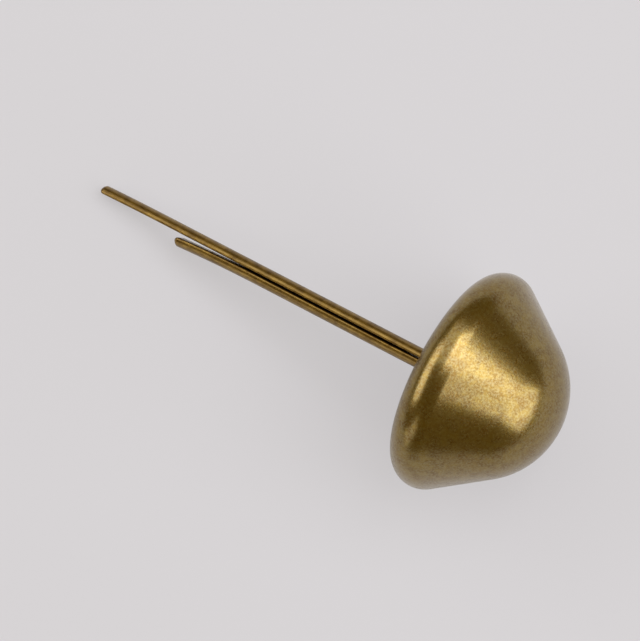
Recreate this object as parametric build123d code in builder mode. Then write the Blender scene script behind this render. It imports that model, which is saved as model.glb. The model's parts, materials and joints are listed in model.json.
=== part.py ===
"""Cone-headed bag foot on a cotter pin: a stamped cap, the disc its rim is rolled over, and the split pin.

Lengths are in millimetres. The foot lies as it comes to rest on a table, on the rim of its head and the
tip of the longer leg, with +X from the tip towards the head and +Z up.
"""

from build123d import *
from math import asin, atan2, cos, hypot, pi, radians, sin, sqrt
import os

os.makedirs("parts", exist_ok=True)

# Head: a cap drawn from sheet brass.
head_diameter = 15.9        # over the rim, 5/8 inch
head_height = 9.05          # from the back of the rim to the top of the dome
dome_radius = 6.2           # the rounded top of the cone
rim_radius = 1.8            # outside of the rolled rim
sheet_thickness = 0.5
rim_return = 1.1            # flat width of the rim turned in behind the disc
return_edge_radius = 0.18   # edge of the turned rim, softened by the polishing

# Disc that closes the back of the head.
disc_thickness = 0.8
disc_clearance = 0.03       # between the disc's edge and the inside of the rim
disc_edge_flat = 0.2        # how far inside the roll the flat back of the disc stops
hole_clearance = 0.05       # all round the pin where it passes through the disc
hole_edge_radius = 0.15

# Cotter pin: one half-round wire, folded on its flat side.
pin_diameter = 1.36         # over both legs
leg_gap = 0.05              # between the two flat sides
wire_corner_radius = 0.15
long_leg_length = 27.8      # from the back of the rim
short_leg_length = 21.25
tip_plan_radius = 0.28      # rounding of the cut ends across the wire's thickness
tip_side_radius = 0.3       # and across its height
tip_bow_length = 5.5        # end of the long leg, curved in towards the short one
tip_bow_radius = 250.0
spring_length = 6.8         # end of the short leg, sprung away from the long one
spring_radius = 115.0
spread_length = 5.0         # where the legs part slightly before they enter the disc
spread_radius = 200.0
neck_radius = 0.9           # reverse bend between a leg and the eye
neck_clearance = 0.05       # from the disc to where the necks begin
eye_diameter = 2.8          # outside of the eye
split_roll = -10.0          # turn of the split out of the vertical, its top away from the long leg, in degrees

# Worked out from the sizes above.
head_radius = head_diameter / 2
rim_centre = (rim_radius, head_radius - rim_radius)
dome_centre = (head_height - dome_radius, 0)
centre_run = dome_centre[0] - rim_centre[0]
centre_drop = dome_centre[1] - rim_centre[1]
flank_angle = asin((rim_radius - dome_radius) / hypot(centre_run, centre_drop)) - atan2(centre_drop, centre_run)
return_opening_radius = head_radius - rim_radius - rim_return

pin_radius = pin_diameter / 2
wire_thickness = pin_radius - leg_gap / 2
leg_offset = (leg_gap + wire_thickness) / 2
roll = radians(split_roll)

# The straight line under the rim and the long leg's tip, both taken as rounds in the side view, gives the tilt.
corner_across = leg_gap / 2 + wire_corner_radius
corner_depth = sqrt((pin_radius - wire_corner_radius) ** 2 - corner_across ** 2)
wire_height = 2 * (corner_depth + wire_corner_radius)
leg_depth = corner_depth * cos(roll) + corner_across * sin(roll) + wire_corner_radius
contact_run = rim_centre[0] + long_leg_length - tip_side_radius
contact_drop = rim_centre[1] - (leg_depth - tip_side_radius)
tilt = atan2(contact_drop, contact_run) + asin((rim_radius - tip_side_radius) / hypot(contact_run, contact_drop))

# The origin is on the table, under the middle of the length.
tip_reach = (
    (long_leg_length - tip_side_radius) * cos(tilt) + (leg_depth - tip_side_radius) * sin(tilt) + tip_side_radius
)
dome_reach = dome_centre[0] * cos(tilt) + dome_radius
seat_x = (tip_reach - dome_reach) / 2
seat_z = rim_radius + rim_centre[1] * cos(tilt) - rim_centre[0] * sin(tilt)

# Frames: local X runs along the pin towards the top of the dome, from the plane of the rim's back.
seat = (seat_x, 0, seat_z)
along = (cos(tilt), 0, sin(tilt))
rolled_upward = (-sin(tilt) * cos(roll), sin(roll), cos(tilt) * cos(roll))
side_plane = Plane(origin=seat, x_dir=along, z_dir=(0, -1, 0))
seat_plane = Plane(origin=seat, x_dir=(0, 1, 0), z_dir=along)
leg_plane = Plane(origin=seat, x_dir=along, z_dir=rolled_upward)
pin_axis = Axis(seat, along)
same_radius = 1e-4          # how near two radii are to count as the same edge


def point_on(centre, radius, angle):
    """A point on a round, with the angle measured from straight out towards the dome's top, in radians."""
    return (centre[0] + radius * sin(angle), centre[1] + radius * cos(angle))


def dome_profile(inset):
    """Half section of the head, filled in to its axis, with its surface moved in by the inset."""
    rim = rim_radius - inset
    dome = dome_radius - inset
    back_angle = -pi / 2
    middle_angle = (back_angle + flank_angle) / 2
    with BuildSketch(side_plane) as profile:
        with BuildLine():
            back = point_on(rim_centre, rim, back_angle)
            rim_end = point_on(rim_centre, rim, flank_angle)
            dome_start = point_on(dome_centre, dome, flank_angle)
            top = (dome_centre[0] + dome, 0)
            Line((inset, 0), back)
            ThreePointArc(back, point_on(rim_centre, rim, middle_angle), rim_end)
            Line(rim_end, dome_start)
            ThreePointArc(dome_start, point_on(dome_centre, dome, (flank_angle + pi / 2) / 2), top)
            Line(top, (inset, 0))
        make_face()
    return profile.sketch


# Head shell: one cap of sheet, its rim rolled round and turned in flat behind the disc.
with BuildPart() as head_shell:
    revolve(dome_profile(0), axis=pin_axis)
    revolve(dome_profile(sheet_thickness), axis=pin_axis, mode=Mode.SUBTRACT)
    with BuildSketch(seat_plane):
        Circle(return_opening_radius)
    extrude(amount=sheet_thickness, mode=Mode.SUBTRACT)
    opening_edges = head_shell.edges().filter_by(GeomType.CIRCLE).filter_by(
        lambda edge: abs(edge.radius - return_opening_radius) < same_radius
    )
    fillet(opening_edges, return_edge_radius)

# Back disc: its rounded edge fits the inside of the rolled rim, and the pin passes through its middle.
disc_back = sheet_thickness
disc_front = disc_back + disc_thickness
spread_angle = asin(spread_length / spread_radius)
spread_rise = spread_radius * (1 - cos(spread_angle))
hole_radius = pin_radius + spread_rise + hole_clearance
with BuildPart() as back_disc:
    with BuildSketch(side_plane):
        edge_radius = rim_radius - sheet_thickness - disc_clearance
        front_angle = asin((disc_front - rim_centre[0]) / edge_radius)
        with BuildLine():
            back_corner = (disc_back, rim_centre[1] - disc_edge_flat)
            edge_start = point_on(rim_centre, edge_radius, -pi / 2)
            edge_middle = point_on(rim_centre, edge_radius, (front_angle - pi / 2) / 2)
            edge_end = point_on(rim_centre, edge_radius, front_angle)
            Polyline((disc_front, 0), (disc_back, 0), back_corner, edge_start)
            ThreePointArc(edge_start, edge_middle, edge_end)
            Line(edge_end, (disc_front, 0))
        make_face()
    revolve(axis=pin_axis)
    with BuildSketch(seat_plane.offset(disc_back)):
        Circle(hole_radius)
    extrude(amount=disc_thickness, mode=Mode.SUBTRACT)
    hole_edges = back_disc.edges().filter_by(GeomType.CIRCLE).filter_by(
        lambda edge: abs(edge.radius - hole_radius) < same_radius
    )
    fillet(hole_edges, hole_edge_radius)

# Cotter pin: the path of the wire's middle, out along one leg, round the eye and back along the other.
neck_start = disc_front + neck_clearance
spread_start = neck_start - spread_length
neck_centre = (
    spread_start + (spread_radius - neck_radius) * sin(spread_angle),
    leg_offset + spread_radius - (spread_radius - neck_radius) * cos(spread_angle),
)
eye_radius = (eye_diameter - wire_thickness) / 2
eye_centre_x = neck_centre[0] + sqrt((neck_radius + eye_radius) ** 2 - neck_centre[1] ** 2)
neck_end_angle = atan2(neck_centre[1], eye_centre_x - neck_centre[0])


def leg_side(side, leg_length, end_length, end_radius, end_turn):
    """Lines of one leg from its tip to the eye; side is 1 or -1, end_turn 1 where the tip curves outwards."""
    offset = side * leg_offset
    end_angle = asin(end_length / end_radius)
    end_rise = side * end_turn * end_radius
    end_start = -leg_length + end_length
    tip = (-leg_length, offset + end_rise * (1 - cos(end_angle)))
    half_way = (end_start - end_radius * sin(end_angle / 2), offset + end_rise * (1 - cos(end_angle / 2)))
    straight_end = (spread_start, offset)
    spread_mid = (
        spread_start + spread_radius * sin(spread_angle / 2),
        offset + side * spread_radius * (1 - cos(spread_angle / 2)),
    )
    neck = (
        spread_start + spread_radius * sin(spread_angle),
        offset + side * spread_rise,
    )
    neck_end = (
        neck_centre[0] + neck_radius * cos(neck_end_angle),
        side * (neck_centre[1] - neck_radius * sin(neck_end_angle)),
    )
    neck_mid_angle = (spread_angle - pi / 2 - neck_end_angle) / 2
    neck_mid = (
        neck_centre[0] + neck_radius * cos(neck_mid_angle),
        side * (neck_centre[1] + neck_radius * sin(neck_mid_angle)),
    )
    ThreePointArc(tip, half_way, (end_start, offset))
    Line((end_start, offset), straight_end)
    ThreePointArc(straight_end, spread_mid, neck)
    ThreePointArc(neck, neck_mid, neck_end)
    return neck_end


def round_end(tip, inward, looking, width, depth, radius):
    """Cuts the wire's end to a rounded outline as seen along the looking direction, clear of the other leg."""
    with BuildSketch(Plane(origin=tip, x_dir=inward, z_dir=looking)) as waste:
        Rectangle(2 * radius, width + leg_gap)
        RectangleRounded(4 * radius, width, radius, align=(Align.MIN, Align.CENTER), mode=Mode.SUBTRACT)
    extrude(waste.sketch, amount=(depth + leg_gap) / 2, both=True, mode=Mode.SUBTRACT)


with BuildPart() as cotter_pin:
    with BuildLine(leg_plane) as wire_path:
        long_neck_end = leg_side(1, long_leg_length, tip_bow_length, tip_bow_radius, -1)
        short_neck_end = leg_side(-1, short_leg_length, spring_length, spring_radius, 1)
        ThreePointArc(long_neck_end, (eye_centre_x + eye_radius, 0), short_neck_end)
    wire = wire_path.wire()
    wire_start = wire @ 0
    wire_direction = wire % 0
    section_plane = Plane(
        origin=wire_start, x_dir=leg_plane.z_dir.cross(wire_direction), z_dir=wire_direction
    )
    with BuildSketch(section_plane):
        with Locations((-leg_offset, 0)):
            Circle(pin_radius)
            with Locations((leg_gap / 2, 0)):
                Rectangle(pin_diameter, pin_diameter, align=(Align.MAX, Align.CENTER), mode=Mode.SUBTRACT)
        fillet(vertices(), wire_corner_radius)
    sweep(path=wire)
    for tip, inward in ((wire @ 0, wire % 0), (wire @ 1, (wire % 1) * -1)):
        across = leg_plane.z_dir.cross(inward)
        round_end(tip, inward, leg_plane.z_dir, wire_thickness, wire_height, tip_plan_radius)
        round_end(tip, inward, across, wire_height, wire_thickness, tip_side_radius)

head_shell.part.label = "head_shell"
export_step(head_shell.part, "parts/head_shell.step")

back_disc.part.label = "back_disc"
export_step(back_disc.part, "parts/back_disc.step")

cotter_pin.part.label = "cotter_pin"
export_step(cotter_pin.part, "parts/cotter_pin.step")
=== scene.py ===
import bmesh
import bpy
import json
from math import asin, atan2, cos, hypot, pi, radians, sin, sqrt
from mathutils import Matrix, Vector


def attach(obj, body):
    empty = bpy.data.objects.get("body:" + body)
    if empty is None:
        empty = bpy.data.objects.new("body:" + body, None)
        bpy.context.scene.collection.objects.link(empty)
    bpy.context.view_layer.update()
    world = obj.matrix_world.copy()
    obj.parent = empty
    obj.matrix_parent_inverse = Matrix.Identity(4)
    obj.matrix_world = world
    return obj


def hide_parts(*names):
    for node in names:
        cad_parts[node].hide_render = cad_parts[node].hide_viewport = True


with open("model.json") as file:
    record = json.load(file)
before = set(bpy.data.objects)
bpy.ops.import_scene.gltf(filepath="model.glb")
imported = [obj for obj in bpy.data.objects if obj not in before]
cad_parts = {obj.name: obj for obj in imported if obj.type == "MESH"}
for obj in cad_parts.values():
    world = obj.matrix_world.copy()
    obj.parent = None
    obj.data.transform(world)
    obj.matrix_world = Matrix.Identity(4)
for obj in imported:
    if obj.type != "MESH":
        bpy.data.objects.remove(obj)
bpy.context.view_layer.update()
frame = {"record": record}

# Head shell: the cap of the foot, drawn from one disc of half-millimetre sheet brass over a cone-shaped
# punch, its rim rolled round and turned in behind the back disc. Plated antique brass, then brushed to
# a satin, so that the plating is rubbed lighter in patches and the dark patina stays as mottles.
mm = 0.001
mounts = {mount["name"]: mount for mount in frame["record"]["mounts"]}
along = -Vector(mounts["shank"]["axis"]).normalized()
seat_from_mount = 12.975 * mm
seat = Vector(mounts["shank"]["pos_m"]) + seat_from_mount * along
level = Vector((0, 1, 0))
head_frame = Matrix((along, level, along.cross(level))).transposed().to_4x4()
head_frame.translation = seat

rim_radius = 1.8 * mm
rim_centre = (1.8 * mm, 6.15 * mm)
dome_radius = 6.2 * mm
dome_centre = (2.85 * mm, 0.0)
sheet = 0.5 * mm
return_radius = 5.05 * mm
return_edge = 0.18 * mm
weld = 0.0005 * mm
smooth_angle = radians(40)
run = dome_centre[0] - rim_centre[0]
drop = dome_centre[1] - rim_centre[1]
flank = asin((rim_radius - dome_radius) / hypot(run, drop)) - atan2(drop, run)


def round_points(centre, radius, start, end, steps):
    """Points on a round; the angle runs from straight out (0) towards the dome's top (pi / 2)."""
    points = []
    for step in range(steps + 1):
        angle = start + (end - start) * step / steps
        points.append((centre[0] + radius * sin(angle), centre[1] + radius * cos(angle)))
    return points


def begin_piece(name):
    """A plane squeezed to one point, left in edit mode to be drawn out."""
    bpy.ops.object.select_all(action="DESELECT")
    bpy.ops.mesh.primitive_plane_add(size=mm)
    piece = bpy.context.object
    piece.name = name
    bpy.ops.object.mode_set(mode="EDIT")
    bpy.ops.mesh.select_mode(type="VERT")
    bpy.ops.mesh.select_all(action="SELECT")
    bpy.ops.mesh.merge(type="CENTER")
    return piece


def draw_out(points):
    """Draws the selected point out along a line of points, in three coordinates."""
    bpy.ops.transform.translate(value=points[0])
    for before, after in zip(points, points[1:]):
        step = Vector(after) - Vector(before)
        bpy.ops.mesh.extrude_region_move(TRANSFORM_OT_translate={"value": step})


def close_piece(piece, place):
    """Welds the seam, turns the faces outward and puts the piece in its place in the frame."""
    bpy.ops.mesh.select_all(action="SELECT")
    bpy.ops.mesh.remove_doubles(threshold=weld)
    bpy.ops.mesh.normals_make_consistent(inside=False)
    bpy.ops.object.mode_set(mode="OBJECT")
    piece.matrix_world = place
    bpy.ops.object.transform_apply(location=True, rotation=True, scale=True)
    bpy.ops.object.shade_smooth_by_angle(angle=smooth_angle)


def node(tree, kind, settings=None, inputs=None, links=None):
    """A shader node with its settings and input values set and its inputs linked from other sockets."""
    made = tree.nodes.new(kind)
    for key, value in (settings or {}).items():
        setattr(made, key, value)
    for key, value in (inputs or {}).items():
        made.inputs[key].default_value = value
    for key, source in (links or {}).items():
        tree.links.new(source, made.inputs[key])
    return made


def start_finish(name, place):
    """A new metal finish, with its node tree, its shader and coordinates along and across the pin."""
    finish = bpy.data.materials.new(name)
    finish.use_nodes = True
    tree = finish.node_tree
    shader = tree.nodes["Principled BSDF"]
    shader.inputs["Metallic"].default_value = 1.0
    shader.inputs["Coat Weight"].default_value = 0.75
    shader.inputs["Coat IOR"].default_value = 1.48
    shader.inputs["Coat Roughness"].default_value = 0.22
    coords = node(tree, "ShaderNodeTexCoord")
    turned = node(
        tree,
        "ShaderNodeMapping",
        {"vector_type": "TEXTURE"},
        {"Location": place.to_translation(), "Rotation": place.to_euler()},
        {"Vector": coords.outputs["Object"]},
    )
    return finish, tree, shader, turned.outputs["Vector"]


def noise(tree, vector, scale, detail, rough=0.5, distort=0.0):
    """The value of a noise whose scale is in features a metre."""
    inputs = {"Scale": scale, "Detail": detail, "Roughness": rough, "Distortion": distort}
    return node(tree, "ShaderNodeTexNoise", None, inputs, {"Vector": vector}).outputs["Fac"]


def levels(tree, value, low, high, to_low=0.0, to_high=1.0):
    """A value stretched from one range onto another and held within it."""
    inputs = {"From Min": low, "From Max": high, "To Min": to_low, "To Max": to_high}
    stretched = node(tree, "ShaderNodeMapRange", {"clamp": True}, inputs, {"Value": value})
    return stretched.outputs["Result"]


def blend(tree, amount, first, second):
    """Two colours mixed by an amount; each colour and the amount may be a value or a socket."""
    made = node(tree, "ShaderNodeMix", {"data_type": "RGBA"})
    for index, value in ((0, amount), (6, first), (7, second)):
        if isinstance(value, bpy.types.NodeSocket):
            tree.links.new(value, made.inputs[index])
        else:
            made.inputs[index].default_value = value
    return made.outputs[2]


head = begin_piece("head_cap")
outside = round_points(rim_centre, rim_radius, -pi / 2, flank, 40)
outside += round_points(dome_centre, dome_radius, flank, pi / 2, 48)
inside = round_points(dome_centre, dome_radius - sheet, pi / 2, flank, 24)
inside += round_points(rim_centre, rim_radius - sheet, flank, -pi / 2, 24)
back_edge = (return_edge, return_radius + return_edge)
front_edge = (sheet - return_edge, return_radius + return_edge)
mouth = round_points(front_edge, return_edge, pi / 2, pi, 6)
mouth += round_points(back_edge, return_edge, pi, 3 * pi / 2, 6)
section = inside + mouth + outside
draw_out([(x, r, 0.0) for x, r in section])
bpy.ops.mesh.select_all(action="SELECT")
bpy.ops.mesh.spin(steps=240, angle=2 * pi, center=(0, 0, 0), axis=(1, 0, 0))
close_piece(head, head_frame)

head_finish, tree, shader, place = start_finish("head_brass", head_frame)
cloud = noise(tree, place, 330, 3, 0.55)
mottle = noise(tree, place, 1500, 5, 0.62, 0.4)
grain = noise(tree, place, 7000, 3, 0.6)
dark_brass = (0.175, 0.094, 0.005, 1)
light_brass = (0.275, 0.180, 0.024, 1)
brown_brass = (0.24, 0.137, 0.020, 1)
rubbed_brass = (0.34, 0.285, 0.135, 1)
patina = blend(tree, levels(tree, mottle, 0.40, 0.60), dark_brass, light_brass)
patina = blend(tree, levels(tree, cloud, 0.38, 0.66, 0.0, 0.45), patina, brown_brass)
patina = blend(tree, levels(tree, grain, 0.40, 0.62, 0.0, 0.6), patina, rubbed_brass)
tree.links.new(patina, shader.inputs["Base Color"])
tree.links.new(levels(tree, mottle, 0.35, 0.65, 0.29, 0.22), shader.inputs["Roughness"])
relief = node(tree, "ShaderNodeBump", None, {"Strength": 0.5, "Distance": 0.009 * mm}, {"Height": grain})
tree.links.new(relief.outputs["Normal"], shader.inputs["Normal"])
head.data.materials.append(head_finish)
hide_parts("head_shell")
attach(head, "root")

# Back disc: a stamped brass washer that closes the cap, its edge rounded to fit inside the rolled rim
# and its middle pierced for the pin. Plated with the rest but never rubbed, so it stays duller.
disc_back = 0.5 * mm
disc_front = 1.3 * mm
disc_edge = 1.27 * mm
hole_radius = 0.7925 * mm
hole_edge = 0.15 * mm
flat_inset = 0.2 * mm
front_angle = asin((disc_front - rim_centre[0]) / disc_edge)
disc = begin_piece("back_disc_plate")
rim_fit = [(disc_back, rim_centre[1] - flat_inset)]
rim_fit += round_points(rim_centre, disc_edge, -pi / 2, front_angle, 16)
edge_height = hole_radius + hole_edge
hole_front = round_points((disc_front - hole_edge, edge_height), hole_edge, pi / 2, pi, 6)
hole_back = round_points((disc_back + hole_edge, edge_height), hole_edge, pi, 3 * pi / 2, 6)
section = rim_fit + hole_front + hole_back + rim_fit[:1]
draw_out([(x, r, 0.0) for x, r in section])
bpy.ops.mesh.select_all(action="SELECT")
bpy.ops.mesh.spin(steps=128, angle=2 * pi, center=(0, 0, 0), axis=(1, 0, 0))
close_piece(disc, head_frame)

disc_finish, tree, shader, place = start_finish("disc_brass", head_frame)
dulling = noise(tree, place, 900, 5, 0.65)
stain = noise(tree, place, 250, 2)
dull_brass = (0.09, 0.055, 0.012, 1)
paler_brass = (0.19, 0.125, 0.035, 1)
stained_brass = (0.12, 0.07, 0.02, 1)
patina = blend(tree, levels(tree, dulling, 0.35, 0.65), dull_brass, paler_brass)
patina = blend(tree, levels(tree, stain, 0.5, 0.72, 0.0, 0.6), patina, stained_brass)
tree.links.new(patina, shader.inputs["Base Color"])
tree.links.new(levels(tree, dulling, 0.3, 0.7, 0.5, 0.38), shader.inputs["Roughness"])
disc.data.materials.append(disc_finish)
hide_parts("back_disc")
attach(disc, "root")

# Cotter pin: one length of half-round brass wire folded on its flat side round an eye, its two legs
# lying side by side out through the disc. The ends are cropped and tumbled round, one leg left longer
# so that a nail can part them. Plated over the drawn wire, with fine rubs along its length.
split_lean = radians(2)
long_lean = radians(-1)
short_lean = radians(6)
short_end = -21.5 * mm
pin_frame = head_frame @ Matrix.Rotation(split_lean, 4, "X")
pin_radius = 0.68 * mm
half_gap = 0.008 * mm
corner = 0.13 * mm
leg_middle = (pin_radius + half_gap) / 2
half_thick = (pin_radius - half_gap) / 2
corner_y = half_gap + corner
corner_z = sqrt((pin_radius - corner) ** 2 - corner_y ** 2)
half_high = corner_z + corner
corner_turn = atan2(corner_z, corner_y)
bow_start = -22.3 * mm
bow_length = 5.5 * mm
bow_radius = 250 * mm
spring_start = -14.45 * mm
spring_length = 6.8 * mm
spring_radius = 115 * mm
spread_start = -3.65 * mm
spread_length = 5.0 * mm
spread_radius = 200 * mm
spread_turn = asin(spread_length / spread_radius)
spread_steps = 3
lean_height = -0.3 * mm
neck_radius = 0.9 * mm
neck_x = spread_start + (spread_radius - neck_radius) * sin(spread_turn)
neck_y = leg_middle + spread_radius - (spread_radius - neck_radius) * cos(spread_turn)
eye_radius = 1.0725 * mm
eye_x = neck_x + sqrt((neck_radius + eye_radius) ** 2 - neck_y ** 2)
neck_lean = atan2(neck_y, eye_x - neck_x)
neck_turn = pi / 2 - neck_lean - spread_turn
tip_round = 0.29 * mm


def section_points(x, middle_y, middle_z, radius, start, end, steps):
    """Points on a round across the wire, the angle running from +Y towards +Z."""
    points = []
    for step in range(steps + 1):
        angle = start + (end - start) * step / steps
        points.append((x, middle_y + radius * cos(angle), middle_z + radius * sin(angle)))
    return points


def bend_on(centre_x, centre_y, turn, steps):
    """Carries the wire's end on round an arc, to the left if the turn is positive."""
    bpy.ops.mesh.spin(steps=steps, angle=-turn, center=(centre_x, centre_y, 0), axis=(0, 0, 1))


def round_tip(piece, heading):
    """Rounds the wire's end off over the edges of its cut face."""
    steps = 8
    before = (0.0, 0.0)
    for step in range(1, steps + 1):
        angle = pi / 2 * step / steps
        now = (tip_round * sin(angle), tip_round * (1 - cos(angle)))
        onward = (now[0] - before[0]) * heading
        bpy.ops.mesh.extrude_region_move(TRANSFORM_OT_translate={"value": onward})
        mesh = bmesh.from_edit_mesh(piece.data)
        end = [vert.co for vert in mesh.verts if vert.select]
        middle = sum(end, Vector()) / len(end)
        thinner = (half_thick - now[1]) / (half_thick - before[1])
        lower = (half_high - now[1]) / (half_high - before[1])
        bpy.ops.transform.resize(value=(1, thinner, lower), center_override=middle)
        before = now


pin = begin_piece("split_pin")
outline = section_points(bow_start, corner_y, -corner_z, corner, -pi, -corner_turn, 8)
outline += section_points(bow_start, 0.0, 0.0, pin_radius, -corner_turn, corner_turn, 24)[1:-1]
outline += section_points(bow_start, corner_y, corner_z, corner, corner_turn, pi, 8)
draw_out(outline)
bpy.ops.mesh.select_all(action="SELECT")
bpy.ops.mesh.edge_face_add()
bpy.ops.mesh.select_mode(type="FACE")
long_straight = Vector((spread_start - bow_start, 0, 0))
bpy.ops.mesh.extrude_region_move(TRANSFORM_OT_translate={"value": long_straight})
bend_on(spread_start, leg_middle + spread_radius, spread_turn, spread_steps)
bend_on(neck_x, neck_y, neck_turn, 10)
bend_on(eye_x, 0, -2 * (pi - neck_lean), 48)
bend_on(neck_x, -neck_y, neck_turn, 10)
bend_on(spread_start, -leg_middle - spread_radius, spread_turn, spread_steps)
short_straight = Vector((spring_start - spread_start, 0, 0))
bpy.ops.mesh.extrude_region_move(TRANSFORM_OT_translate={"value": short_straight})
spring_turn = (spring_length - tip_round) / spring_radius
bend_on(spring_start, -leg_middle - spring_radius, spring_turn, 8)
round_tip(pin, Vector((-cos(spring_turn), -sin(spring_turn), 0)))
mesh = bmesh.from_edit_mesh(pin.data)
bpy.ops.mesh.select_all(action="DESELECT")
for face in mesh.faces:
    if len(face.verts) > 4 and face.calc_center_median().y > 0:
        face.select_set(True)
bow_turn = (bow_length - tip_round) / bow_radius
bend_on(bow_start, leg_middle - bow_radius, bow_turn, 6)
round_tip(pin, Vector((-cos(bow_turn), -sin(bow_turn), 0)))
bpy.ops.mesh.select_mode(type="VERT")
for side, full_lean in ((1, long_lean), (-1, short_lean)):
    for station in range(spread_steps):
        reach = spread_start + spread_radius * sin(spread_turn * station / spread_steps)
        centre = Vector((reach, side * leg_middle, lean_height))
        bpy.ops.mesh.select_all(action="DESELECT")
        for vert in bmesh.from_edit_mesh(pin.data).verts:
            near = abs(vert.co.x - reach) < 0.5 * mm or (station == 0 and vert.co.x < reach)
            vert_side = 1 if vert.co.y > 0 or vert.co.x < short_end else -1
            if near and vert_side == side:
                vert.select_set(True)
        lean = full_lean * (1 - station / spread_steps)
        bpy.ops.transform.rotate(value=-lean, orient_axis="X", center_override=centre)
close_piece(pin, pin_frame)

pin_finish, tree, shader, place = start_finish("pin_brass", pin_frame)
drawn = node(tree, "ShaderNodeVectorMath", {"operation": "MULTIPLY"}, {1: (0.12, 1, 1)}, {0: place})
streak = noise(tree, drawn.outputs["Vector"], 5200, 3, 0.6)
mottle = noise(tree, place, 1700, 4, 0.6)
dark_wire = (0.15, 0.082, 0.012, 1)
light_wire = (0.31, 0.19, 0.036, 1)
rubbed_wire = (0.46, 0.31, 0.09, 1)
patina = blend(tree, levels(tree, mottle, 0.36, 0.66), dark_wire, light_wire)
patina = blend(tree, levels(tree, streak, 0.45, 0.68, 0.0, 0.45), patina, rubbed_wire)
tree.links.new(patina, shader.inputs["Base Color"])
tree.links.new(levels(tree, streak, 0.3, 0.7, 0.36, 0.26), shader.inputs["Roughness"])
relief = node(tree, "ShaderNodeBump", None, {"Strength": 0.5, "Distance": 0.004 * mm}, {"Height": streak})
tree.links.new(relief.outputs["Normal"], shader.inputs["Normal"])
pin.data.materials.append(pin_finish)
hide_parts("cotter_pin")
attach(pin, "root")

# Stage: the pale, matt table that the foot lies on. Part of its paleness shows to the camera only, so
# that the foot mirrors a dimmer table.
bpy.ops.mesh.primitive_plane_add(size=8)
floor = bpy.context.object
floor.name = "floor"
floor_finish = bpy.data.materials.new("floor_finish")
floor_finish.use_nodes = True
floor_shader = floor_finish.node_tree.nodes["Principled BSDF"]
floor_shader.inputs["Base Color"].default_value = (0.53, 0.53, 0.575, 1)
floor_shader.inputs["Roughness"].default_value = 0.8
tree = floor_finish.node_tree
seen = node(tree, "ShaderNodeLightPath").outputs["Is Camera Ray"]
share = levels(tree, seen, 0.0, 1.0, 0.0, 0.62)
pale = node(tree, "ShaderNodeEmission", None, {"Color": (0.728, 0.710, 0.738, 1)})
floor_mix = node(tree, "ShaderNodeMixShader", None, None, {0: share})
tree.links.new(floor_shader.outputs["BSDF"], floor_mix.inputs[1])
tree.links.new(pale.outputs["Emission"], floor_mix.inputs[2])
tree.links.new(floor_mix.outputs["Shader"], tree.nodes["Material Output"].inputs["Surface"])
floor.data.materials.append(floor_finish)

# Camera: nearly straight above, with the pin running to the upper left.
off_zenith = radians(3.59)
picture_turn = radians(27.56)
camera_distance = 238.5 * mm
aim_across = -8.228 * mm
aim_down = -3.319 * mm
towards_camera = Vector((sin(off_zenith), 0, cos(off_zenith)))
down_slope = Vector((cos(off_zenith), 0, -sin(off_zenith)))
picture_right = cos(picture_turn) * down_slope + sin(picture_turn) * level
picture_down = sin(picture_turn) * down_slope - cos(picture_turn) * level
aim = seat + aim_across * picture_right + aim_down * picture_down
camera_data = bpy.data.cameras.new("camera")
camera_data.lens = 198.3
camera_data.sensor_width = 36.0
camera = bpy.data.objects.new("camera", camera_data)
bpy.context.scene.collection.objects.link(camera)
turn = Matrix((picture_right, -picture_down, towards_camera)).transposed()
camera.matrix_world = Matrix.Translation(aim + camera_distance * towards_camera) @ turn.to_4x4()
bpy.context.scene.camera = camera

# Lamps: two soft boxes overhead, the second dimmer, one beyond the head, one over the pin's end for the
# back of the rim and a weak low one at the side, in a dim, warm room that looks pale to the camera.
target = Vector((4 * mm, 0, 7 * mm))
lamp_distance = 0.45


def soft_box(name, x_lean, y_lean, width, depth, power):
    """An area lamp turned to the foot; its leans from overhead towards +X and +Y are in degrees."""
    lamp_data = bpy.data.lights.new(name, "AREA")
    lamp_data.shape = "RECTANGLE"
    lamp_data.size = width
    lamp_data.size_y = depth
    lamp_data.energy = power
    lamp = bpy.data.objects.new(name, lamp_data)
    bpy.context.scene.collection.objects.link(lamp)
    away = Vector((sin(radians(x_lean)) * cos(radians(y_lean)), sin(radians(y_lean)), 0))
    away.z = sqrt(max(0.0, 1 - away.x ** 2 - away.y ** 2))
    across = Vector((0, 1, 0)).cross(away).normalized()
    turned = Matrix((across, away.cross(across), away)).transposed()
    lamp.matrix_world = Matrix.Translation(target + lamp_distance * away) @ turned.to_4x4()


soft_box("overhead_box", 19, 22, 0.35, 0.29, 1.08)
soft_box("overhead_dim_box", -28, 26, 0.52, 0.34, 0.55)
soft_box("head_side_box", 60, 4, 0.34, 0.38, 1.0)
soft_box("rim_box", -57, -8, 0.22, 0.42, 0.64)
soft_box("low_side_box", -60, -70, 0.40, 0.14, 0.14)
world = bpy.data.worlds.new("room")
world.use_nodes = True
tree = world.node_tree
room = tree.nodes["Background"]
room.inputs["Color"].default_value = (1.0, 0.74, 0.2, 1)
room.inputs["Strength"].default_value = 0.22
backdrop = node(tree, "ShaderNodeBackground", None, {"Color": (0.49, 0.47, 0.465, 1)})
seen = node(tree, "ShaderNodeLightPath").outputs["Is Camera Ray"]
room_mix = node(tree, "ShaderNodeMixShader", None, None, {0: seen})
tree.links.new(room.outputs["Background"], room_mix.inputs[1])
tree.links.new(backdrop.outputs["Background"], room_mix.inputs[2])
tree.links.new(room_mix.outputs["Shader"], tree.nodes["World Output"].inputs["Surface"])
bpy.context.scene.world = world
bpy.context.scene.view_settings.view_transform = "Standard"
